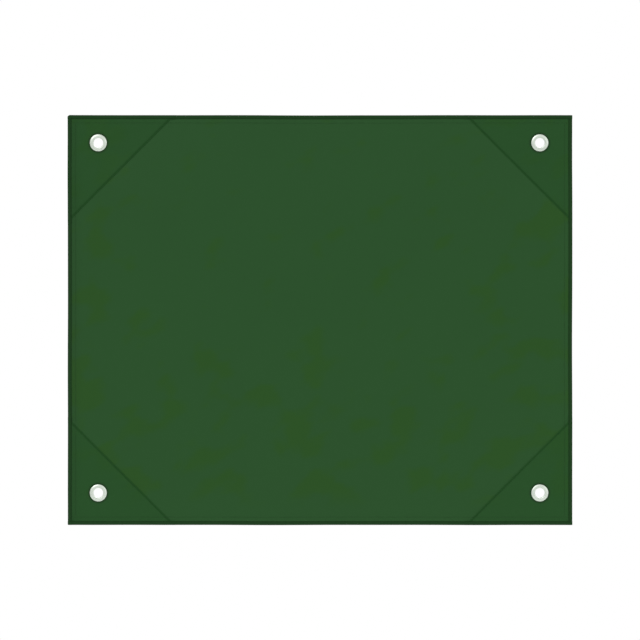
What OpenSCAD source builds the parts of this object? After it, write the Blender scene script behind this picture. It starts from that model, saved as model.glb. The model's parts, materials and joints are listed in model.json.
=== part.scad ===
// Eyeleted tarpaulin panel: a hemmed sheet of coated cloth with bound edges, a patch and a metal
// eyelet in each corner. X runs along the width and Z up the height. The front faces -Y. The origin
// is the middle of the finished outline, halfway through the cloth.

/* [Panel] */
// Finished width over the edge binding
panel_w = 800; // [500:10:1600]
// Finished height over the edge binding
panel_h = 650; // [450:10:1200]
// Thickness of the coated cloth
ply = 0.6; // [0.3:0.05:1.2]

/* [Hem] */
// How far the hem at the back reaches past the binding
hem_past_binding = 11.5; // [8:0.5:20]
// Distance from the hem's inner edge to its seam
hem_seam_back = 5; // [2:0.5:7]

/* [Edge binding] */
// Width of binding on each face
bind_w = 6; // [4:0.5:14]
// Thickness of the binding tape
tape = 0.5; // [0.3:0.05:1]
// Distance from the binding's inner edge to its seam
bind_seam_in = 1.4; // [0.8:0.1:2.5]

/* [Corner patches] */
// Length of a patch's two short sides, from the finished corner
patch_leg = 170; // [110:5:220]
// Thickness of the patch cloth
patch_ply = 0.6; // [0.3:0.05:1.2]
// Distance from a patch's long side to its seam
patch_seam_in = 2.6; // [1.5:0.1:6]

/* [Sewing] */
// Width of a row of stitches
thread_w = 0.6; // [0.3:0.1:1]
// Height of a row of stitches above what it holds
thread_h = 0.3; // [0.15:0.05:0.6]
// Length of the slope where a layer climbs onto another
slope = 2; // [1:0.5:6]

/* [Eyelets] */
// Diameter of an eyelet's bore
bore_d = 15.5; // [10:0.5:24]
// Width of the flange ring around the bore
flange_w = 5.75; // [4:0.25:9]
// Height of the flange's crest above the cloth
flange_rise = 1.6; // [0.8:0.1:2.4]
// Thickness of the flange at its rim
flange_rim = 0.5; // [0.3:0.05:0.7]
// Wall of the barrel that passes through the cloth
barrel_wall = 0.6; // [0.4:0.05:1]
// Radius of the roll that clenches the barrel at the back
roll_r = 1.2; // [0.8:0.1:1.6]
// Distance from the centre of an eyelet on the left to the left edge
eyelet_in_left = 48.5; // [40:0.5:70]
// Distance from the centre of an eyelet on the right to the right edge
eyelet_in_right = 51.5; // [40:0.5:70]
// Distance from the centre of a top eyelet to the top edge
eyelet_in_top = 44; // [40:0.5:70]
// Distance from the centre of a bottom eyelet to the bottom edge
eyelet_in_bottom = 51; // [40:0.5:70]

/* [Eyelet washers] */
// Thickness of a washer
washer_t = 0.6; // [0.4:0.05:1]
// How far a washer's rim lies inside the flange's rim
washer_inside = 0.5; // [0:0.1:1.5]
// Clearance from the barrel to the cloth's hole and to the washer
barrel_gap = 0.15; // [0.05:0.05:0.4]

/* [Hidden] */
$fn = 96;
eps = 1; // how far a cutting shape runs past what it cuts

cloth_colour = [0.18, 0.32, 0.18];
patch_colour = [0.16, 0.31, 0.16];
binding_colour = [0.14, 0.24, 0.13];
thread_colour = [0.10, 0.18, 0.10];
metal_colour = [0.78, 0.82, 0.78];

// Which way each face of the cloth looks along Y
FRONT = -1;
BACK = 1;

// A corner is a name, then the side of X and of Z that it is on
CORNERS = [["top_left", -1, 1], ["top_right", 1, 1], ["bottom_left", -1, -1], ["bottom_right", 1, -1]];
// A side is a name, its turn from the top about Y, its length and the panel's size across it
SIDES = [["top", 0, panel_w, panel_h], ["right", 90, panel_h, panel_w],
         ["bottom", 180, panel_w, panel_h], ["left", 270, panel_h, panel_w]];

function named(prefix, places) = [for (p = places) str(prefix, p[0])];

// The cloth ends inside the binding's fold
cloth_w = panel_w - 2 * tape;
cloth_h = panel_h - 2 * tape;

// Heights of the faces above the middle of the cloth, outwards on either side
bare = ply / 2;
on_patch = bare + patch_ply;
on_hem = bare + ply;

// Depths in from the finished edge
hem_inner = bind_w + hem_past_binding;
hem_seam = hem_inner - hem_seam_back;
bind_seam = bind_w - bind_seam_in;
patch_seam = patch_leg - patch_seam_in * sqrt(2);

// Radii of an eyelet
bore_r = bore_d / 2;
barrel_r = bore_r + barrel_wall;
flange_r = bore_r + flange_w;
washer_r = flange_r - washer_inside;
hole_r = barrel_r + barrel_gap;

function eyelet_x(c) = c[1] < 0 ? eyelet_in_left - panel_w / 2 : panel_w / 2 - eyelet_in_right;
function eyelet_z(c) = c[2] < 0 ? eyelet_in_bottom - panel_h / 2 : panel_h / 2 - eyelet_in_top;

// The top and bottom bindings lie over the ends of the side bindings
function is_over(s) = s[1] % 180 == 0;

// A path is a list of [distance along, height]. These lift it, turn it round, or lay it on a face.
function lifted(path, by) = [for (p = path) [p[0], p[1] + by]];
function reversed(path) = [for (i = [len(path) - 1 : -1 : 0]) path[i]];
function laid(path, face) = [for (p = path) [p[0], face * p[1]]];
function both_ways(half) = concat([for (p = reversed(half)) [-p[0], p[1]]], half);

// What lies under the binding along a side, on the front and on the back, out to a given distance
function under_front(s, out) = both_ways(concat(
    [[s[2] / 2 - patch_leg - slope, bare], [s[2] / 2 - patch_leg, on_patch]],
    is_over(s) ? corner_step(s, on_patch) : [],
    [[out, is_over(s) ? on_patch + tape : on_patch]]));
function under_back(s, out) = both_ways(concat(
    is_over(s) ? corner_step(s, on_hem) : [],
    [[out, is_over(s) ? on_hem + tape : on_hem]]));
function corner_step(s, height) = [
    [s[2] / 2 - bind_w - slope, height],
    [s[2] / 2 - bind_w, height + tape]];

// Puts what is drawn for the top side, around z = 0 at the finished edge, on any side
module on_side(s) {
    rotate([0, s[1], 0]) translate([0, 0, s[3] / 2]) children();
}

// Puts what is drawn for the top right corner on any corner
module on_corner(c) {
    mirror([c[1] < 0 ? 1 : 0, 0, 0]) mirror([0, 0, c[2] < 0 ? 1 : 0]) children();
}

// A flat sheet drawn in X and Z, from one height to another along Y
module sheet(from, to) {
    translate([0, to, 0]) rotate([90, 0, 0]) linear_extrude(to - from) children();
}

// A strip of the given thickness that follows a path along X, between two levels of Z
module strip(path, thickness, face, low, high) {
    outline = concat(laid(path, face), reversed(laid(lifted(path, thickness), face)));
    translate([0, 0, low]) linear_extrude(high - low) polygon(outline);
}

module eyelet_place(c) {
    translate([eyelet_x(c), 0, eyelet_z(c)]) rotate([90, 0, 0]) children();
}

module eyelet_hole(c) {
    eyelet_place(c) translate([0, 0, -panel_w / 2]) cylinder(r = hole_r, h = panel_w);
}

module main_panel() {
    color(cloth_colour) difference() {
        union() {
            sheet(-bare, bare) square([cloth_w, cloth_h], center = true);
            sheet(bare, on_hem) difference() {
                square([cloth_w, cloth_h], center = true);
                square([panel_w - 2 * hem_inner, panel_h - 2 * hem_inner], center = true);
            }
        }
        for (c = CORNERS) eyelet_hole(c);
    }
}

module corner_patch(c) {
    cut = patch_leg - 2 * tape;
    color(patch_colour) difference() {
        on_corner(c) translate([cloth_w / 2, 0, cloth_h / 2])
            sheet(-on_patch, -bare) polygon([[0, 0], [-cut, 0], [0, -cut]]);
        eyelet_hole(c);
    }
}

// A tape folded round the edge: a block over both faces, less the space that the cloth fills
module binding(s) {
    ends = s[2] / 2 - (is_over(s) ? 0 : tape);
    outside = concat(
        laid(lifted(under_front(s, ends), tape), FRONT),
        reversed(laid(lifted(under_back(s, ends), tape), BACK)));
    inside = concat(
        laid(under_front(s, ends + eps), FRONT),
        reversed(laid(under_back(s, ends + eps), BACK)));
    color(binding_colour) on_side(s) difference() {
        translate([0, 0, -bind_w]) linear_extrude(bind_w) polygon(outside);
        translate([0, 0, -bind_w - eps]) linear_extrude(bind_w + eps - tape) polygon(inside);
    }
}

// Half of an eyelet's section: radius along X, height above the middle of the cloth along Y
module eyelet_section() {
    crest_r = bore_r + flange_rise;
    crown_w = flange_r - crest_r;
    crown_drop = flange_rise - flange_rim;
    crown_r = (crown_w * crown_w + crown_drop * crown_drop) / (2 * crown_drop);
    clench = -bare - washer_t;
    // Barrel
    translate([bore_r, clench]) square([barrel_wall, on_patch - clench]);
    // Rounded mouth of the bore
    intersection() {
        translate([crest_r, on_patch]) circle(flange_rise);
        translate([bore_r, on_patch]) square(flange_rise);
    }
    // Crown, sloping from the crest to the rim
    intersection() {
        translate([crest_r, on_patch + flange_rise - crown_r]) circle(crown_r);
        translate([crest_r, on_patch]) square([crown_w, flange_rise]);
    }
    // Roll over the washer
    intersection() {
        translate([bore_r + roll_r, clench]) circle(roll_r);
        translate([bore_r, clench - roll_r]) square([2 * roll_r, roll_r]);
    }
}

module eyelet(c) {
    color(metal_colour) eyelet_place(c) rotate_extrude() eyelet_section();
}

module eyelet_washer(c) {
    rim = washer_t / 2;
    color(metal_colour) eyelet_place(c) rotate_extrude() translate([0, -bare - washer_t]) {
        translate([hole_r, 0]) square([washer_r - rim - hole_r, washer_t]);
        translate([washer_r - rim, rim]) circle(rim);
    }
}

// The seam along a patch's long side runs between the two hem seams
module patch_seam(c) {
    reach = (patch_seam / 2 - hem_seam - thread_w) * sqrt(2);
    onto_hem = (patch_seam / 2 - hem_inner) * sqrt(2) - thread_w / 2;
    over_back = both_ways([[onto_hem - slope, bare], [onto_hem, on_hem], [reach, on_hem]]);
    color(thread_colour) on_corner(c)
        translate([panel_w / 2 - patch_seam / 2, 0, panel_h / 2 - patch_seam / 2]) rotate([0, 45, 0]) {
            strip(both_ways([[reach, on_patch]]), thread_h, FRONT, -thread_w / 2, thread_w / 2);
            strip(over_back, thread_h, BACK, -thread_w / 2, thread_w / 2);
        }
}

// Side hem seams end short of the top and bottom ones, which end short of the side bindings
module hem_seam(s) {
    ends = s[2] / 2 - (is_over(s) ? bind_w : hem_seam) - thread_w;
    onto_patch = s[2] / 2 - patch_leg + hem_seam - thread_w / 2;
    over_front = both_ways([[onto_patch - slope, bare], [onto_patch, on_patch], [ends, on_patch]]);
    low = -hem_seam - thread_w / 2;
    color(thread_colour) on_side(s) {
        strip(over_front, thread_h, FRONT, low, low + thread_w);
        strip(both_ways([[ends, on_hem]]), thread_h, BACK, low, low + thread_w);
    }
}

module binding_seam(s) {
    ends = s[2] / 2 - (is_over(s) ? 0 : bind_w) - thread_w;
    low = -bind_seam - thread_w / 2;
    color(thread_colour) on_side(s) {
        strip(lifted(under_front(s, ends), tape), thread_h, FRONT, low, low + thread_w);
        strip(lifted(under_back(s, ends), tape), thread_h, BACK, low, low + thread_w);
    }
}

main_panel();
for (c = CORNERS) {
    corner_patch(c);
    eyelet(c);
    eyelet_washer(c);
    patch_seam(c);
}
for (s = SIDES) {
    binding(s);
    hem_seam(s);
    binding_seam(s);
}
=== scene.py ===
import json
import math
from contextlib import contextmanager

import bmesh
import bpy
import numpy as np
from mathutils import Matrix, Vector


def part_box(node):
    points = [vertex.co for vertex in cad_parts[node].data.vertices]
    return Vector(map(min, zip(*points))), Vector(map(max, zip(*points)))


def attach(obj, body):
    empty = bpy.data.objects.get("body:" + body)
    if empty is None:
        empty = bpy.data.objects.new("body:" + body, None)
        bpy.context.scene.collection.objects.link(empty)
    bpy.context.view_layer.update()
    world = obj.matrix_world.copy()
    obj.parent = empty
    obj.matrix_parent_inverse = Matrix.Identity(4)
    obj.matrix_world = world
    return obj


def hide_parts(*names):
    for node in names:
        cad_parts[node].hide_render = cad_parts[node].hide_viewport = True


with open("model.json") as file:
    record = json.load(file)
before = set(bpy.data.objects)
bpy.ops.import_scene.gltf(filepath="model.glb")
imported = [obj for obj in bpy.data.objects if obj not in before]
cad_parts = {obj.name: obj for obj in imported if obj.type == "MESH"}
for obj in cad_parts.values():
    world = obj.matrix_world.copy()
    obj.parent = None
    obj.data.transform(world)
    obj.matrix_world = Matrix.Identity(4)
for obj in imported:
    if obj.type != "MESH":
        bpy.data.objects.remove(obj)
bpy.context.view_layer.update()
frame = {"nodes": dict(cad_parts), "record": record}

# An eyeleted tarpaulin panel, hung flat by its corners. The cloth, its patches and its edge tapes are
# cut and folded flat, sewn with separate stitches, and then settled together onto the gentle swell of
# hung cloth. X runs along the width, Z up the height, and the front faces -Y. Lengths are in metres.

MM = 0.001
FRONT, BACK = -1, 1
RNG = np.random.default_rng(7)

# ---------------------------------------------------------------- sizes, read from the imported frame


def box_size(node):
    low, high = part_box(node)
    return high - low


def box_middle(node):
    low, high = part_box(node)
    return (low + high) / 2


CORNERS = {"top_left": (-1, 1), "top_right": (1, 1), "bottom_left": (-1, -1), "bottom_right": (1, -1)}

# Half sizes over the binding, and of the cloth inside the binding's fold
HALF_W, HALF_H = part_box("binding_top")[1].x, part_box("binding_top")[1].z
CLOTH_W, CLOTH_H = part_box("main_panel")[1].x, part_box("main_panel")[1].z

# Heights of the cloth's faces above its middle, outwards on either side
BARE = -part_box("main_panel")[0].y
ON_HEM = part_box("main_panel")[1].y
ON_PATCH = -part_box("corner_patch_top_left")[0].y

# The binding tape, and how far each thing lies in from the finished edge
TAPE = HALF_H - CLOTH_H
BAND = box_size("binding_top").z
PATCH_LEG = box_size("corner_patch_top_left").x + 2 * TAPE  # to where its long side meets the edges
HEM_ROW = HALF_H - box_middle("hem_seam_top").z
BAND_ROW = HALF_H - box_middle("binding_seam_top").z
PATCH_ROW = HALF_W + HALF_H - box_middle("patch_seam_top_right").x - box_middle("patch_seam_top_right").z
HEM_INNER = HALF_H - min(
    v.co.z for v in frame["nodes"]["main_panel"].data.vertices
    if v.co.z > 0 and v.co.y > (BARE + ON_HEM) / 2)
SLOPE = 2 * MM  # run of the ramp where a tape climbs onto another layer

# A side is its turn about Y from the top, half its length, half the panel across it, and whether its
# tape lies over the ends of its neighbours
SIDES = {
    "top": (0, HALF_W, HALF_H, True), "right": (90, HALF_H, HALF_W, False),
    "bottom": (180, HALF_W, HALF_H, True), "left": (270, HALF_H, HALF_W, False)}

# Eyelets
EYE = {name: box_middle("eyelet_" + name) for name in CORNERS}
BORE_R = next(m["dims"]["r_mm"] for m in frame["record"]["mounts"] if m["kind"] == "bore") * MM
FLANGE_R = box_size("eyelet_top_left").x / 2
FLANGE_RISE = -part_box("eyelet_top_left")[0].y - ON_PATCH
WASHER_R = box_size("eyelet_washer_top_left").x / 2
WASHER_T = box_size("eyelet_washer_top_left").y
CLENCH = BARE + WASHER_T
ROLL_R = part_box("eyelet_top_left")[1].y - CLENCH
SHEET_METAL = 0.55 * MM
HOLE_R = BORE_R + SHEET_METAL + 0.2 * MM  # of the hole in each layer of cloth

# ---------------------------------------------------------------- the swell of the hung cloth

# Broad waves: height, wavelength, direction in degrees, phase
WAVES = [
    (1.00 * MM, 0.62, 24, 0.4), (0.75 * MM, 0.37, 78, 1.9),
    (0.45 * MM, 0.24, 131, 2.6), (0.28 * MM, 0.15, -12, 5.1)]
FLUTTER, FLUTTER_DEPTH = 0.9 * MM, 45 * MM  # height at the free edges, and how far in it dies away
SEAM_PUCKER, HEM_PUCKER, PUCKER_WIDTH = 0.11 * MM, 0.09 * MM, 8 * MM
EYELET_FOLD, FOLD_RUN = 0.34 * MM, 45 * MM  # height of the folds, and how far from an eyelet they run
# How far the finished corners are pulled round
CORNER_EASE = {"top_left": 4 * MM, "top_right": 1.4 * MM, "bottom_left": 1.4 * MM, "bottom_right": 1.4 * MM}


def ramp(value, low, high):
    """0 below low, 1 above high, and a smooth rise between."""
    t = np.clip((value - low) / (high - low), 0, 1)
    return t * t * (3 - 2 * t)


def bell(distance, width):
    """1 where distance is nil, dying away over width on either side."""
    return np.exp(-((distance / width) ** 2))


def wave(way, length, phase=0.0):
    """A sine of height 1 along a way."""
    return np.sin(2 * math.pi * way / length + phase)


def swell(x, z):
    """How far the cloth stands out of flat along Y. It is nil at the eyelets, which hold it."""
    depth_x, depth_z = HALF_W - np.abs(x), HALF_H - np.abs(z)
    edge = np.minimum(depth_x, depth_z)
    by_side = depth_x < depth_z  # nearer the left or right edge than the top or bottom
    along = np.where(by_side, z, x)
    which = np.where(by_side, np.sign(x), np.sign(z))
    from_mitre = np.abs(depth_x - depth_z)
    rise = np.zeros_like(x)
    for height, length, heading, phase in WAVES:
        way = x * math.cos(math.radians(heading)) + z * math.sin(math.radians(heading))
        rise += height * wave(way, length, phase)
    # The free edges flutter more than the middle
    flutter = wave(along, 0.29, 0.8 + which) + 0.5 * wave(along, 0.171, 2.2 + which)
    rise += FLUTTER * flutter * np.exp(-edge / FLUTTER_DEPTH) * ramp(from_mitre, 0, 80 * MM)
    # Tight stitches pucker the patch seams and the hem
    across = (depth_x + depth_z - PATCH_ROW) / math.sqrt(2)
    run = (depth_x - depth_z) / math.sqrt(2) + 0.3 * np.sign(x) + 0.11 * np.sign(z)
    gathers = wave(run, 13.1 * MM) + 0.7 * wave(run, 20.7 * MM, 1.3)
    rise += SEAM_PUCKER * gathers * bell(across, PUCKER_WIDTH)
    gathers = wave(along, 15.3 * MM, 2 * which) + 0.7 * wave(along, 24.1 * MM)
    rise += HEM_PUCKER * gathers * bell(edge - HEM_ROW, PUCKER_WIDTH) * ramp(from_mitre, 0, 20 * MM)
    # Shallow folds run from each eyelet towards the middle
    still = np.ones_like(x)
    folds = np.zeros_like(x)
    for order, centre in enumerate(EYE.values()):
        off_x, off_z = x - centre.x, z - centre.z
        reach = np.hypot(off_x, off_z)
        turn = np.arctan2(off_z, off_x)
        folds += EYELET_FOLD * np.sin(9 * turn + order) * (reach / 0.04) * np.exp(-reach / FOLD_RUN)
        still *= ramp(reach, FLANGE_R, FLANGE_R + 60 * MM)
        folds *= ramp(reach, FLANGE_R, FLANGE_R + 12 * MM)
    return rise * still + folds


def eased(x, z):
    """The finished corners, pulled from square to slightly round."""
    x, z = x.copy(), z.copy()
    for name, (side_x, side_z) in CORNERS.items():
        radius = CORNER_EASE[name]
        a = 1 - (HALF_W - side_x * x) / radius
        b = 1 - (HALF_H - side_z * z) / radius
        inside = (a > 0) & (b > 0)
        a, b = np.clip(a, 0, 1), np.clip(b, 0, 1)
        x = np.where(inside, side_x * (HALF_W - radius * (1 - a * np.sqrt(1 - b * b / 2))), x)
        z = np.where(inside, side_z * (HALF_H - radius * (1 - b * np.sqrt(1 - a * a / 2))), z)
    return x, z


# ---------------------------------------------------------------- working on meshes


def only(piece):
    """Selects this piece and nothing else."""
    bpy.ops.object.select_all(action="DESELECT")
    piece.select_set(True)
    bpy.context.view_layer.objects.active = piece


@contextmanager
def editing(piece, mode="FACE"):
    """The piece's mesh in edit mode, with nothing selected."""
    only(piece)
    bpy.ops.object.mode_set(mode="EDIT")
    bpy.ops.mesh.select_mode(type=mode)
    bpy.ops.mesh.select_all(action="DESELECT")
    yield bmesh.from_edit_mesh(piece.data)
    bpy.ops.object.mode_set(mode="OBJECT")


def select(mesh, elements, test):
    """Selects the elements that pass the test."""
    for element in elements:
        if test(element):
            element.select_set(True)
    mesh.select_flush_mode()


def points(piece):
    """The piece's vertices as rows of X, Y and Z."""
    co = np.empty(len(piece.data.vertices) * 3)
    piece.data.vertices.foreach_get("co", co)
    return co.reshape(-1, 3)


def move_points(piece, co):
    piece.data.vertices.foreach_set("co", np.ascontiguousarray(co).ravel())
    piece.data.update()


def fix_place(piece):
    """Puts the object's place, turn and size into its mesh."""
    only(piece)
    bpy.ops.object.transform_apply(location=True, rotation=True, scale=True)


def modify(piece, kind, **settings):
    """Adds a modifier with these settings and applies it."""
    only(piece)
    made = piece.modifiers.new(kind.lower(), kind)
    for setting, value in settings.items():
        setattr(made, setting, value)
    bpy.ops.object.modifier_apply(modifier=made.name)


def face_outwards(piece):
    with editing(piece):
        bpy.ops.mesh.select_all(action="SELECT")
        bpy.ops.mesh.remove_doubles(threshold=1e-7)
        bpy.ops.mesh.normals_make_consistent(inside=False)


def smooth(piece, degrees=35):
    only(piece)
    bpy.ops.object.shade_smooth_by_angle(angle=math.radians(degrees))


def spaced(breaks, step):
    """Places along a line that include every break, no further apart than step."""
    breaks = sorted(set(round(b, 7) for b in breaks))
    runs = []
    for a, b in zip(breaks, breaks[1:]):
        count = max(1, math.ceil((b - a) / step - 1e-6))
        runs.append(np.linspace(a, b, count + 1)[:-1])
    return np.append(np.concatenate(runs), breaks[-1])


def flat_sheet(name, xs, zs):
    """A flat sheet in X and Z that faces the front, with its threads at xs and zs."""
    bpy.ops.object.select_all(action="DESELECT")
    bpy.ops.mesh.primitive_grid_add(
        x_subdivisions=len(xs) - 1, y_subdivisions=len(zs) - 1, size=2, rotation=(math.pi / 2, 0, 0))
    piece = bpy.context.object
    piece.name = piece.data.name = name
    fix_place(piece)
    co = points(piece)
    co[:, 0] = xs[np.rint((co[:, 0] + 1) / 2 * (len(xs) - 1)).astype(int)]
    co[:, 2] = zs[np.rint((co[:, 2] + 1) / 2 * (len(zs) - 1)).astype(int)]
    co[:, 1] = 0
    move_points(piece, co)
    return piece


def punch(piece, centre, radius, sides=48, depth=20 * MM):
    """Cuts a round hole through the piece along Y."""
    bpy.ops.object.select_all(action="DESELECT")
    bpy.ops.mesh.primitive_cylinder_add(
        vertices=sides, radius=radius, depth=depth, location=(centre.x, 0, centre.z),
        rotation=(math.pi / 2, 0, 0))
    cutter = bpy.context.object
    modify(piece, "BOOLEAN", operation="DIFFERENCE", solver="EXACT", object=cutter)
    bpy.data.objects.remove(cutter)


def settle(piece):
    """Lays a piece that was made flat onto the swell of the hung cloth."""
    co = points(piece)
    co[:, 0], co[:, 2] = eased(co[:, 0], co[:, 2])
    co[:, 1] += swell(co[:, 0], co[:, 2])
    move_points(piece, co)


def finish_piece(piece, finish, slot, *nodes):
    """Gives the piece its finish and its place in the frame. The slot is not used."""
    piece.data.materials.clear()
    piece.data.materials.append(finish)
    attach(piece, "root")
    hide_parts(*nodes)
    return piece


# ---------------------------------------------------------------- finishes


class Varying:
    """A number that changes over a surface. Arithmetic on it adds Math nodes."""

    def __init__(self, finish, socket):
        self.finish, self.socket = finish, socket

    def __add__(self, other):
        return self.finish.math("ADD", self, other)

    def __radd__(self, other):
        return self.finish.math("ADD", other, self)

    def __sub__(self, other):
        return self.finish.math("SUBTRACT", self, other)

    def __rsub__(self, other):
        return self.finish.math("SUBTRACT", other, self)

    def __mul__(self, other):
        return self.finish.math("MULTIPLY", self, other)

    def __truediv__(self, other):
        return self.finish.math("DIVIDE", self, other)

    def __pow__(self, other):
        return self.finish.math("POWER", self, other)

    def __abs__(self):
        return self.finish.math("ABSOLUTE", self)


class Finish:
    """A material being made: a Principled surface and the nodes that vary over it."""

    def __init__(self, name, **constants):
        self.material = bpy.data.materials.new(name)
        self.material.use_nodes = True
        self.tree = self.material.node_tree
        self.surface = self.tree.nodes["Principled BSDF"]
        for socket, value in constants.items():
            self.surface.inputs[socket.replace("_", " ")].default_value = value

    def feed(self, socket, value):
        if isinstance(value, Varying):
            self.tree.links.new(value.socket, socket)
        else:
            socket.default_value = value

    def node(self, kind, settings, sockets, out=0):
        """A node of this type, with its settings, then the values or links of its sockets."""
        made = self.tree.nodes.new("ShaderNode" + kind)
        for setting, value in settings.items():
            setattr(made, setting, value)
        for socket, value in sockets.items():
            self.feed(made.inputs[socket], value)
        return Varying(self, made.outputs[out])

    def math(self, operation, *values):
        return self.node("Math", {"operation": operation}, dict(enumerate(values)))

    def sine(self, value):
        return self.math("SINE", value)

    def lesser(self, a, b):
        return self.math("MINIMUM", a, b)

    def greater(self, a, b):
        return self.math("MAXIMUM", a, b)

    def rise(self, value, low, high):
        """0 below low, 1 above high, and a smooth rise between."""
        return self.node(
            "MapRange", {"interpolation_type": "SMOOTHSTEP"},
            {"Value": value, "From Min": low, "From Max": high})

    def ridge(self, distance, width):
        """1 where distance is nil, falling to 0 at width."""
        return 1 - self.rise(abs(distance), 0.0, width)

    def place(self):
        """The point in the panel's own frame, and its three coordinates."""
        point = self.node("TexCoord", {}, {}, out="Object")
        return (point, *(self.node("SeparateXYZ", {}, {0: point}, out=i) for i in range(3)))

    def run_of(self, layer):
        """Distances along and across a piece that carries its own map."""
        point = self.node("UVMap", {"uv_map": layer}, {})
        return tuple(self.node("SeparateXYZ", {}, {0: point}, out=i) for i in range(2))

    def from_eyelet(self):
        """Distance from the axis of the nearest eyelet."""
        _, x, _, z = self.place()
        reaches = [self.math("SQRT", (x - c.x) ** 2 + (z - c.z) ** 2) for c in EYE.values()]
        return self.lesser(self.lesser(reaches[0], reaches[1]), self.lesser(reaches[2], reaches[3]))

    def noise(self, point, scale, detail=2.0, roughness=0.5):
        return self.node(
            "TexNoise", {}, {"Vector": point, "Scale": scale, "Detail": detail, "Roughness": roughness})

    def blend(self, share, a, b):
        """From colour a at 0 to colour b at 1."""
        return self.node("Mix", {"data_type": "RGBA"}, {0: share, 6: a, 7: b}, out=2)

    def shade(self, colour, amount):
        """The colour made darker or lighter by a factor."""
        base = colour if isinstance(colour, Varying) else colour[:3]
        return self.node("VectorMath", {"operation": "SCALE"}, {0: base, "Scale": amount})

    def bump(self, height, strength=1.0):
        """Relief given in metres."""
        return self.node(
            "Bump", {}, {"Strength": strength, "Distance": 1.0, "Height": height}, out="Normal")

    def wear(self, colour, roughness, relief):
        """Links what varies to the surface."""
        for socket, value in (("Base Color", colour), ("Roughness", roughness), ("Normal", relief)):
            self.feed(self.surface.inputs[socket], value)
        return self.material


YARN = 0.62 * MM  # pitch of the cloth's threads
CLOTH_GREEN = (0.0148, 0.0734, 0.0148, 1)
CLOTH_OLIVE = (0.0150, 0.0742, 0.0072, 1)
PATCH_GREEN = (0.0113, 0.0680, 0.0113, 1)
PATCH_OLIVE = (0.0114, 0.0683, 0.0082, 1)
# Painted shade: the dark green that the cloth is blended to along the patch seams
SEAM_SHADE_GREEN = (0.0015, 0.0490, 0.0015, 1)
BAND_GREEN = (0.0098, 0.0455, 0.0094, 1)
WORN_GREEN = (0.0190, 0.0480, 0.0185, 1)
THREAD_GREEN = (0.0090, 0.0580, 0.0090, 1)
METAL_PALE = (0.74, 0.81, 0.72, 1)


def coated_cloth(name, green, olive):
    """Plain-woven cloth under a thin, slightly waxy coating."""
    cloth = Finish(name, Specular_IOR_Level=0.2)
    point, x, _, z = cloth.place()
    depth_x, depth_z = HALF_W - abs(x), HALF_H - abs(z)
    edge = cloth.lesser(depth_x, depth_z)

    slub = cloth.noise(point, 900.0, 2.0) - 0.5
    grain = cloth.noise(point, 160.0, 3.0, 0.6) - 0.5
    stray = grain * (1.4 * MM)  # threads wander a little from straight
    weave = cloth.sine((x + stray) * (math.pi / YARN)) * cloth.sine((z + stray) * (math.pi / YARN))
    clouds = cloth.noise(point, 9.0, 2.5, 0.55)

    # Faint olive blotches, drawn out along a slant, commoner low down and towards the sides, and none
    # along the bottom edge
    slant = cloth.node("CombineXYZ", {}, {0: (x + z * 0.5) * 0.6, 2: z - x * 0.5})
    often = cloth.greater(cloth.rise(z, 0.02, -0.16), cloth.rise(abs(x), 0.22, 0.37))
    blotches = cloth.rise(cloth.noise(slant, 21.0, 2.0, 0.5) + often * 0.09, 0.57, 0.71)
    blotches = blotches * cloth.rise(z + HALF_H, 22 * MM, 60 * MM)

    # Painted shade darkens the cloth in several places: the shadow of the patch's edge and of the puckers
    # along the patch seams, the shade of the puckers along the hem's row, the contact shadows round the
    # eyelets and at the binding's edge, and shade towards the left edge, which the light reaches less. Each
    # entry gives how far it reaches and how dark it is.
    patch_line = (depth_x + depth_z - PATCH_ROW) / math.sqrt(2)
    seam = cloth.ridge(patch_line - 1.0 * MM, 2.5 * MM) * 0.78
    hem = cloth.ridge(edge - HEM_ROW, 1.3 * MM) * 0.02
    band_shadow = (1 - cloth.rise(edge, BAND, BAND + 1.6 * MM)) * 0.12
    left_edge_shade = (1 - cloth.rise(x + HALF_W, BAND, 26 * MM)) * 0.09
    eyelet_shadow = (1 - cloth.rise(cloth.from_eyelet(), FLANGE_R + 1.2 * MM, FLANGE_R + 4.8 * MM)) * 0.40

    tone = 1 + (clouds - 0.5) * 0.06 + grain * 0.06 + slub * 0.08 + weave * 0.09
    tone = tone * (1 - hem) * (1 - band_shadow) * (1 - left_edge_shade) * (1 - eyelet_shadow)
    colour = cloth.blend(seam, cloth.blend(blotches * 0.9, green, olive), SEAM_SHADE_GREEN)
    colour = cloth.shade(colour, tone)
    roughness = 0.52 + grain * 0.12 + slub * 0.10 + (clouds - 0.5) * 0.10
    relief = weave * (0.045 * MM) + slub * (0.03 * MM) + grain * (0.05 * MM)
    return cloth.wear(colour, roughness, cloth.bump(relief, 0.8))


def ribbed_tape():
    """Woven binding tape with ribs across it, matt and darker than the cloth."""
    tape = Finish("ribbed_tape", Specular_IOR_Level=0.12)
    point, x, _, z = tape.place()
    edge = tape.lesser(HALF_W - abs(x), HALF_H - abs(z))
    # Painted shade along the tape's stitch row
    row = tape.ridge(edge - BAND_ROW, 1.6 * MM)
    # Rubbed pale over the fold, with painted shadow where its inner edge meets the cloth
    patchy = tape.rise(tape.noise(point, 150.0, 3.0, 0.6), 0.30, 0.65)
    rubbed = (1 - tape.rise(edge, 0.6 * MM, 4.0 * MM)) * patchy
    tape_edge_shadow = tape.ridge(edge - BAND, 1.8 * MM)
    along, across = tape.run_of("run")
    rib = tape.sine(along * (2 * math.pi / (1.15 * MM)))
    pick = tape.sine(across * (2 * math.pi / (0.5 * MM)))
    fuzz = tape.noise(point, 700.0, 2.0) - 0.5
    clouds = tape.noise(point, 25.0, 2.0) - 0.5
    tone = 1 + rib * 0.08 + pick * 0.03 + fuzz * 0.16 + clouds * 0.10
    tone = tone * (1 - row * 0.12) * (1 - tape_edge_shadow * 0.20)
    colour = tape.shade(tape.blend(rubbed * 0.7, BAND_GREEN, WORN_GREEN), tone)
    relief = rib * (0.035 * MM) + pick * (0.01 * MM) + fuzz * (0.03 * MM)
    return tape.wear(colour, 0.72 + fuzz * 0.15, tape.bump(relief, 0.7))


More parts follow.
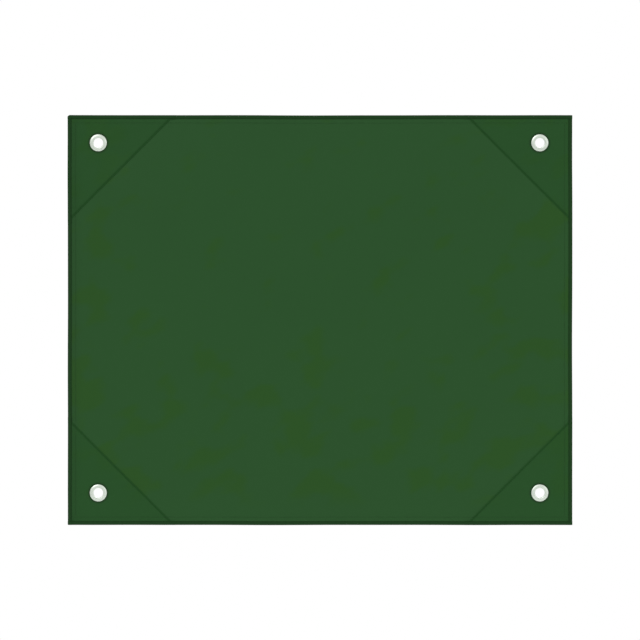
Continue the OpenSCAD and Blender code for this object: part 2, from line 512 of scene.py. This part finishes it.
def sewing_thread():
    """Twisted thread, a shade darker than the cloth."""
    thread = Finish("sewing_thread", Specular_IOR_Level=0.25)
    point = thread.place()[0]
    fuzz = thread.noise(point, 1400.0, 2.0) - 0.5
    patchy = thread.noise(point, 60.0, 1.0) - 0.5
    colour = thread.shade(THREAD_GREEN, 1 + fuzz * 0.5 + patchy * 0.4)
    return thread.wear(colour, 0.6 + fuzz * 0.2, thread.bump(fuzz * (0.05 * MM), 0.6))


def eyelet_metal():
    """Pale plated metal, satin from the press, with fine turning marks and small dull spots."""
    metal = Finish("eyelet_metal", Metallic=0.85, Specular_IOR_Level=0.5)
    point = metal.place()[0]
    turns = metal.from_eyelet() * (2 * math.pi / (0.33 * MM))
    marks = metal.sine(turns + metal.noise(point, 300.0, 2.0) * 9.0)
    spots = metal.rise(metal.noise(point, 520.0, 2.0, 0.6), 0.58, 0.72)
    haze = metal.noise(point, 140.0, 3.0, 0.6) - 0.5
    colour = metal.shade(METAL_PALE, 1 + haze * 0.12 - spots * 0.10)
    relief = marks * (0.003 * MM) + haze * (0.05 * MM)
    return metal.wear(colour, 0.46 + haze * 0.2 + spots * 0.15, metal.bump(relief, 0.5))


# ---------------------------------------------------------------- the cloth


FINE, COARSE = 2.6 * MM, 9 * MM  # spacing of the cloth's mesh near seams, and in the open middle
HAIR = 1e-6  # two places closer than this are one


def cloth_lines(half_cloth, half_panel):
    """Mesh lines across the cloth: fine as far in as the patches reach, coarse in the middle."""
    fine_to = half_panel - PATCH_LEG - 8 * MM  # a little further in than the patches
    hem, fold = half_panel - HEM_INNER, half_cloth - 0.6 * MM
    outer = spaced([fine_to, half_panel - HEM_ROW, hem, fold, half_cloth], FINE)
    middle = spaced([-fine_to, fine_to], COARSE)
    return np.concatenate([-outer[::-1], middle[1:-1], outer])


def make_main_cloth(finish):
    """One ply of cloth with its four edges folded to the back as a hem."""
    cloth = flat_sheet("main_cloth", cloth_lines(CLOTH_W, HALF_W), cloth_lines(CLOTH_H, HALF_H))
    modify(cloth, "SOLIDIFY", thickness=2 * BARE, offset=0)

    def in_hem(face):
        middle = face.calc_center_median()
        depth = min(HALF_W - abs(middle.x), HALF_H - abs(middle.z))
        return face.normal.y > 0.5 and depth < HEM_INNER

    with editing(cloth) as mesh:
        select(mesh, mesh.faces, in_hem)
        bpy.ops.mesh.extrude_region_move(TRANSFORM_OT_translate={"value": (0, ON_HEM - BARE, 0)})

    def on_fold(edge):
        return all(
            min(abs(abs(v.co.x) - CLOTH_W), abs(abs(v.co.z) - CLOTH_H)) < HAIR
            and min(abs(v.co.y + BARE), abs(v.co.y - ON_HEM)) < HAIR for v in edge.verts)

    with editing(cloth, "EDGE") as mesh:
        select(mesh, mesh.edges, on_fold)
        bpy.ops.mesh.bevel(offset=0.5 * MM, segments=3, affect="EDGES", clamp_overlap=True)
    for centre in EYE.values():
        punch(cloth, centre, HOLE_R)
    settle(cloth)
    smooth(cloth)
    finish_piece(cloth, finish, "coated_cloth", "main_panel")
    cut = (2 * (CLOTH_W + HEM_INNER - TAPE), 2 * (CLOTH_H + HEM_INNER - TAPE))
    return cloth, cut


def make_patch(name, finish):
    """A triangle of cloth over a corner, its stitched edge drawn down along the seam."""
    side_x, side_z = CORNERS[name]
    trim = 0.6 * MM  # the patch stops this far short of the cloth's own edge
    layer = (BARE + ON_PATCH) / 2
    outer_x, outer_z = CLOTH_W - trim, CLOTH_H - trim
    xs = np.sort(side_x * spaced([HALF_W - PATCH_LEG, outer_x], FINE))
    zs = np.sort(side_z * spaced([HALF_H - PATCH_LEG, outer_z], FINE))
    patch = flat_sheet("patch_" + name, xs, zs)
    to_corner = Vector((side_x, 0, side_z)).normalized()
    # Cut to its long side, then lines beside and along the seam for the dip
    with editing(patch):
        for depth in (PATCH_LEG, PATCH_ROW - 1.6 * MM, PATCH_ROW, PATCH_ROW + 1.3 * MM):
            bpy.ops.mesh.select_all(action="SELECT")
            bpy.ops.mesh.bisect(
                plane_co=(side_x * (HALF_W - depth / 2), 0, side_z * (HALF_H - depth / 2)),
                plane_no=to_corner, clear_inner=depth == PATCH_LEG)
    co = points(patch)
    co[:, 1] = -layer
    move_points(patch, co)
    clear = 0.02 * MM  # keeps the patch's back just off the cloth
    modify(patch, "SOLIDIFY", thickness=ON_PATCH - BARE - clear, offset=0)
    modify(patch, "BEVEL", width=0.14 * MM, segments=2, limit_method="ANGLE", angle_limit=math.radians(50))
    punch(patch, EYE[name], HOLE_R)
    # The stitches draw the patch's face down along the seam
    co = points(patch)
    depth_x, depth_z = HALF_W - np.abs(co[:, 0]), HALF_H - np.abs(co[:, 2])
    across = (depth_x + depth_z - PATCH_ROW) / math.sqrt(2)
    co[:, 1] += np.where(co[:, 1] < -layer, 0.13 * MM * bell(across, 1.0 * MM), 0)
    move_points(patch, co)
    settle(patch)
    smooth(patch)
    return finish_piece(patch, finish, "coated_cloth", "corner_patch_" + name)


# ---------------------------------------------------------------- the edge binding


FOLD_R = 0.85 * MM  # middle radius of the tape's fold where it holds only the hemmed cloth
ROUNDED_RUN, ROUNDED_STEP = 8 * MM, 0.5 * MM  # finer mesh near a tape's ends, for the rounded corners


def climb(along, stations):
    """Height along a side, from a list of distance from its middle and height."""
    return np.interp(np.abs(along), [s for s, _ in stations], [h for _, h in stations])


def under_tape(side, along, face):
    """Height of what lies under a side's tape, above the middle of the cloth."""
    _, half, _, over = SIDES[side]
    stations = [(0, ON_HEM)]
    if face == FRONT:
        stations = [(0, BARE), (half - PATCH_LEG - SLOPE, BARE), (half - PATCH_LEG, ON_PATCH)]
    if over:
        level = stations[-1][1]
        stations += [(half - BAND - SLOPE, level), (half - BAND, level + TAPE)]
    return climb(along, stations)


def tape_section(front, back):
    """Points across a folded tape at one place: height along Y, and how far in from the edge."""
    at_front, at_back = -(front + TAPE / 2), back + TAPE / 2
    radius = min((at_back - at_front) / 2, FOLD_R)
    low = TAPE / 2 + radius
    legs = np.linspace(BAND, low, 8)
    turn = np.linspace(0, math.pi / 2, 5)[1:]
    section = [(at_front, depth) for depth in legs]
    section += [(at_front + radius - radius * math.cos(t), low - radius * math.sin(t)) for t in turn]
    turn = np.append(0, turn)
    section += [(at_back - radius + radius * math.sin(t), low - radius * math.cos(t)) for t in turn]
    section += [(at_back, depth) for depth in legs[::-1][1:]]
    return np.array(section)


def walk_over(section):
    """How far along the tape's width each point of its section lies."""
    return np.append(0, np.cumsum(np.hypot(*np.diff(section, axis=0).T)))


def make_tape(side, finish):
    """A tape laid flat, folded over the edge, and given its thickness."""
    turn, half, across_half, over = SIDES[side]
    end = half if over else half - TAPE - ON_HEM - TAPE
    climbs = (half - PATCH_LEG - SLOPE, half - PATCH_LEG, half - BAND - SLOPE, half - BAND)
    breaks = [sign * place for sign in (-1, 1) for place in (end, *climbs) if place <= end]
    stations = spaced(breaks, FINE)
    finest = spaced([end - ROUNDED_RUN, end], ROUNDED_STEP)
    stations = np.concatenate([-finest[::-1], stations[np.abs(stations) < finest[0] - HAIR], finest])
    points_across = len(tape_section(BARE, ON_HEM))
    tape = flat_sheet("tape_" + side, stations, np.arange(points_across, dtype=float))
    co = points(tape)
    along, row = co[:, 0].copy(), np.rint(co[:, 2]).astype(int)
    widths = np.zeros(len(co))
    for place in stations:
        here = np.abs(along - place) < HAIR
        section = tape_section(under_tape(side, place, FRONT), under_tape(side, place, BACK))
        co[here, 1] = section[row[here], 0]
        co[here, 2] = across_half - section[row[here], 1]
        widths[here] = walk_over(section)[row[here]]
    move_points(tape, co)
    # The tape's own map: metres along and across it, which its ribs follow
    layer = tape.data.uv_layers.new(name="run")
    corner_of = np.empty(len(tape.data.loops), dtype=int)
    tape.data.loops.foreach_get("vertex_index", corner_of)
    layer.data.foreach_set("uv", np.stack([along[corner_of] + half, widths[corner_of]], 1).ravel())
    modify(tape, "SOLIDIFY", thickness=TAPE, offset=0)
    modify(tape, "BEVEL", width=0.12 * MM, segments=2, limit_method="ANGLE", angle_limit=math.radians(60))
    tape.rotation_euler = (0, math.radians(turn), 0)
    fix_place(tape)
    face_outwards(tape)
    settle(tape)
    smooth(tape, 50)
    widest = walk_over(tape_section(ON_PATCH + TAPE, ON_HEM + TAPE))[-1]
    return finish_piece(tape, finish, "binding_tape", "binding_" + side), (2 * end, widest)


# ---------------------------------------------------------------- the stitches


PITCH = 3.2 * MM
STITCH = 0.9 * PITCH  # length of one stitch, from needle hole to needle hole
THREAD_R = 0.26 * MM
THREAD_SIDES, RINGS = 6, 6  # faces round a stitch and along it


def make_stitch():
    """One stitch along X: a thread that rises from its needle hole and dives into the next."""
    bpy.ops.object.select_all(action="DESELECT")
    bpy.ops.mesh.primitive_cylinder_add(
        vertices=THREAD_SIDES, radius=THREAD_R, depth=STITCH, end_fill_type="NGON",
        rotation=(0, math.pi / 2, 0))
    stitch = bpy.context.object
    fix_place(stitch)
    with editing(stitch):
        for ring in range(1, RINGS):
            bpy.ops.mesh.select_all(action="SELECT")
            bpy.ops.mesh.bisect(plane_co=((ring / RINGS - 0.5) * STITCH, 0, 0), plane_no=(1, 0, 0))
    # Flattened a little, and thinner where its ends dive under the face
    co = points(stitch)
    share = np.abs(co[:, 0]) / (STITCH / 2)
    co[:, 1] *= 0.85
    co[:, 1] -= THREAD_R * (0.45 - 1.9 * share ** 4)
    co[:, 2] *= 1.12 - 0.3 * share ** 2
    move_points(stitch, co)
    return stitch


def stitch_row(name, template, length, face):
    """A row of stitches along X, centred, that stand out from the given face."""
    row = template.copy()
    row.data = template.data.copy()
    row.name = name
    bpy.context.scene.collection.objects.link(row)
    count = int(length / PITCH)
    each = len(row.data.vertices)
    modify(
        row, "ARRAY", count=count, use_relative_offset=False, use_constant_offset=True,
        constant_offset_displace=(PITCH, 0, 0))
    co = points(row)
    co[:, 0] -= (count - 1) * PITCH / 2
    # No two stitches lie quite alike
    number = np.arange(len(co)) // each
    middle = (number - (count - 1) / 2) * PITCH
    slant = RNG.normal(0.035, 0.02, count)[number]
    co[:, 2] += slant * (co[:, 0] - middle) + RNG.normal(0, 0.04 * MM, count)[number]
    co[:, 1] += RNG.normal(0, 0.015 * MM, count)[number]
    co[:, 1] *= -face
    move_points(row, co)
    return row


def join(name, parts):
    """Joins pieces into the first of them."""
    bpy.ops.object.select_all(action="DESELECT")
    for part in parts:
        part.select_set(True)
    bpy.context.view_layer.objects.active = parts[0]
    bpy.ops.object.join()
    parts[0].name = parts[0].data.name = name
    return parts[0]


def lay_row(row, turn, middle, height):
    """Turns a row about Y, moves it to its middle, and lifts it onto the surface under it."""
    row.rotation_euler = (0, math.radians(turn), 0)
    row.location = (middle[0], 0, middle[1])
    fix_place(row)
    co = points(row)
    co[:, 1] += height(co[:, 0], co[:, 2])
    move_points(row, co)


def cloth_face(face):
    """Where the cloth's own surface lies along Y, patches and hem included."""
    def height(x, z):
        depth_x, depth_z = HALF_W - np.abs(x), HALF_H - np.abs(z)
        if face == FRONT:
            bare = ramp(depth_x + depth_z, PATCH_LEG - 0.4 * MM, PATCH_LEG + 0.8 * MM)
            return -(BARE + (ON_PATCH - BARE) * (1 - bare))
        inner = ramp(np.minimum(depth_x, depth_z), HEM_INNER - 0.3 * MM, HEM_INNER + 0.9 * MM)
        return BARE + (ON_HEM - BARE) * (1 - inner)
    return height


def tape_face(side, face):
    """Where the outside of a side's tape lies along Y."""
    def height(x, z):
        along = x if SIDES[side][3] else z
        return face * (under_tape(side, along, face) + TAPE)
    return height


def make_rows(name, node, template, finish, length, turn, middle, heights):
    """One line of stitching: its row on the front and its row on the back."""
    rows = []
    for face in (FRONT, BACK):
        row = stitch_row(name, template, length, face)
        lay_row(row, turn, middle, heights[face])
        rows.append(row)
    stitches = join(name, rows)
    face_outwards(stitches)
    settle(stitches)
    smooth(stitches, 80)
    return finish_piece(stitches, finish, "thread", node)


def make_stitching(finish):
    """Every row of stitches: along the patches, the hem and the tapes."""
    template = make_stitch()
    made = []
    on_cloth = {face: cloth_face(face) for face in (FRONT, BACK)}
    for name, (side_x, side_z) in CORNERS.items():
        middle = (side_x * (HALF_W - PATCH_ROW / 2), side_z * (HALF_H - PATCH_ROW / 2))
        length = (PATCH_ROW - 2 * BAND - 1 * MM) * math.sqrt(2)
        turn = 45 if side_x == side_z else -45
        made.append(make_rows(
            "patch_stitches_" + name, "patch_seam_" + name, template, finish,
            length, turn, middle, on_cloth))
    for side, (turn, half, across_half, over) in SIDES.items():
        outward = (math.sin(math.radians(turn)), math.cos(math.radians(turn)))
        on_tape = {face: tape_face(side, face) for face in (FRONT, BACK)}
        # The rows of the left and right sides stop at those of the top and bottom
        hem_end = half - (BAND if over else HEM_ROW) - 0.8 * MM
        tape_end = half - (0 if over else BAND) - 1.2 * MM
        for kind, node, depth, end, heights in (
                ("hem_stitches_", "hem_seam_", HEM_ROW, hem_end, on_cloth),
                ("tape_stitches_", "binding_seam_", BAND_ROW, tape_end, on_tape)):
            middle = tuple(way * (across_half - depth) for way in outward)
            made.append(make_rows(
                kind + side, node + side, template, finish, 2 * end, turn, middle, heights))
    bpy.data.objects.remove(template)
    return made


# ---------------------------------------------------------------- the eyelets


def arc(centre, radius, start, stop, steps):
    """Points on an arc, with angles in degrees."""
    angles = np.radians(np.linspace(start, stop, steps))
    return [(centre[0] + radius * math.cos(a), centre[1] + radius * math.sin(a)) for a in angles]


def walled(line, wall):
    """The outline of sheet metal whose middle follows a line, with rounded edges."""
    line = np.array(line)
    ahead = np.gradient(line, axis=0)
    ahead /= np.linalg.norm(ahead, axis=1)[:, None]
    side = np.stack([-ahead[:, 1], ahead[:, 0]], 1) * wall / 2
    caps = []
    for end, way in ((-1, 1), (0, -1)):
        caps.append([
            line[end] + ahead[end] * way * wall / 2 * math.sin(t) + side[end] * way * math.cos(t)
            for t in np.radians([30, 60, 90, 120, 150])])
    return np.concatenate([line + side, caps[0], (line - side)[::-1], caps[1]])


def spun(name, outline, centre, steps=72):
    """Spins an outline of radius and height towards the front about an eyelet's axis."""
    bpy.ops.object.select_all(action="DESELECT")
    bpy.ops.mesh.primitive_circle_add(vertices=len(outline), radius=1, fill_type="NOTHING")
    ring = bpy.context.object
    ring.name = ring.data.name = name
    radius, height = np.array(outline).T
    move_points(ring, np.stack([centre.x + radius, -height, np.full(len(outline), centre.z)], 1))
    with editing(ring, "VERT"):
        bpy.ops.mesh.select_all(action="SELECT")
        bpy.ops.mesh.spin(steps=steps, angle=2 * math.pi, center=(centre.x, 0, centre.z), axis=(0, 1, 0))
    face_outwards(ring)
    smooth(ring, 60)
    return ring


def eyelet_outline():
    """Pressed sheet metal: a roll at the back, the barrel, the rounded mouth and the crown."""
    half = SHEET_METAL / 2
    crest_r = BORE_R + FLANGE_RISE
    line = arc((BORE_R + ROLL_R, -CLENCH), ROLL_R - half, 0, -180, 11)
    line += [(BORE_R + half, h) for h in np.linspace(-CLENCH, ON_PATCH, 4)[1:-1]]
    line += arc((crest_r, ON_PATCH), FLANGE_RISE - half, 180, 90, 8)
    # The crown falls from the crest to a rim that bears on the cloth
    run, drop = FLANGE_R - half - crest_r, FLANGE_RISE - SHEET_METAL
    radius = (run * run + drop * drop) / (2 * drop)
    top = ON_PATCH + FLANGE_RISE - half
    line += arc((crest_r, top - radius), radius, 90, 90 - math.degrees(math.asin(run / radius)), 10)[1:]
    return walled(line, SHEET_METAL)


def washer_outline():
    """A flat ring with rounded rims and a shallow groove pressed round its back."""
    inner, outer, rim = HOLE_R, WASHER_R, 0.2 * MM
    groove = (inner + outer) / 2 + 0.9 * MM
    mouth, floor, deep = 0.5 * MM, 0.2 * MM, 0.12 * MM  # half widths of the groove, and its depth
    line = arc((outer - rim, -BARE - rim), rim, 90, 0, 4)
    line += arc((outer - rim, -CLENCH + rim), rim, 0, -90, 4)
    line += [(groove + mouth, -CLENCH), (groove + floor, -CLENCH + deep)]
    line += [(groove - floor, -CLENCH + deep), (groove - mouth, -CLENCH)]
    line += arc((inner + rim, -CLENCH + rim), rim, -90, -180, 4)
    line += arc((inner + rim, -BARE - rim), rim, 180, 90, 4)
    return line


def make_eyelets(finish):
    """In each corner an eyelet, and the washer that it is clenched over."""
    made = []
    for name, centre in EYE.items():
        eyelet = spun("eyelet_ring_" + name, eyelet_outline(), centre)
        made.append(finish_piece(eyelet, finish, "eyelet_metal", "eyelet_" + name))
        washer = spun("washer_ring_" + name, washer_outline(), centre)
        made.append(finish_piece(washer, finish, "eyelet_metal", "eyelet_washer_" + name))
    return made


# ---------------------------------------------------------------- the room


AMBIENT = 0.62  # strength of the soft light from all round
# Name, strength, softness in degrees, heading from the front in degrees, height in degrees
LAMPS = [("key", 0.95, 24, -38, 42), ("fill", 0.40, 40, 48, 18), ("back", 1.0, 30, 158, 40)]
FLOOR_Z, FLOOR_R = -1.1, 3.1
LENS, SENSOR = 100.0, 36.0
VIEW_WIDTH = 1.0149  # how much the camera sees across, at the panel
CAMERA_RISE = 0.15 * MM  # above the middle of the panel


def make_room():
    """A white studio: soft light from all round, a key from the upper left, and a pale floor."""
    world = bpy.data.worlds.new("studio")
    world.use_nodes = True
    nodes, links = world.node_tree.nodes, world.node_tree.links
    # The camera sees plain white, whatever the strength of the light
    seen = nodes.new("ShaderNodeLightPath")
    level = nodes.new("ShaderNodeMapRange")
    level.inputs["To Min"].default_value = AMBIENT
    level.inputs["To Max"].default_value = 1.0
    links.new(seen.outputs["Is Camera Ray"], level.inputs["Value"])
    links.new(level.outputs[0], nodes["Background"].inputs["Strength"])
    nodes["Background"].inputs["Color"].default_value = (1, 1, 1, 1)
    bpy.context.scene.world = world
    bpy.context.scene.view_settings.view_transform = "Standard"

    for name, strength, softness, heading, height in LAMPS:
        lamp = bpy.data.lights.new(name, "SUN")
        lamp.energy, lamp.angle = strength, math.radians(softness)
        lit = bpy.data.objects.new(name, lamp)
        heading, height = math.radians(heading), math.radians(height)
        way = Vector((
            math.sin(heading) * math.cos(height), -math.cos(heading) * math.cos(height), math.sin(height)))
        lit.rotation_euler = way.to_track_quat("Z", "Y").to_euler()
        bpy.context.scene.collection.objects.link(lit)

    bpy.ops.object.select_all(action="DESELECT")
    bpy.ops.mesh.primitive_circle_add(
        vertices=96, radius=FLOOR_R, fill_type="NGON", location=(0, 0, FLOOR_Z))
    floor = bpy.context.object
    floor.name = "floor"
    pale = Finish("pale_floor", Roughness=0.9, Specular_IOR_Level=0.1)
    pale.surface.inputs["Base Color"].default_value = (0.9, 0.9, 0.9, 1)
    floor.data.materials.append(pale.material)


def make_camera():
    """A long lens square on to the middle of the panel."""
    camera = bpy.data.cameras.new("camera")
    camera.lens, camera.sensor_width = LENS, SENSOR
    stand = bpy.data.objects.new("camera", camera)
    stand.location = (0, -VIEW_WIDTH * LENS / SENSOR, CAMERA_RISE)
    stand.rotation_euler = (math.pi / 2, 0, 0)
    bpy.context.scene.collection.objects.link(stand)
    bpy.context.scene.camera = stand


# ---------------------------------------------------------------- building it


make_camera()
make_room()
main_cloth, main_cut = make_main_cloth(coated_cloth("main_coated_cloth", CLOTH_GREEN, CLOTH_OLIVE))
patch_finish = coated_cloth("patch_coated_cloth", PATCH_GREEN, PATCH_OLIVE)
patches = [make_patch(name, patch_finish) for name in CORNERS]
tape_finish = ribbed_tape()
tapes = [make_tape(side, tape_finish) for side in SIDES]
stitching = make_stitching(sewing_thread())
metalwork = make_eyelets(eyelet_metal())

stitching + metalwork
leg = PATCH_LEG - 2 * TAPE
for patch in patches:
    leg * leg / 2
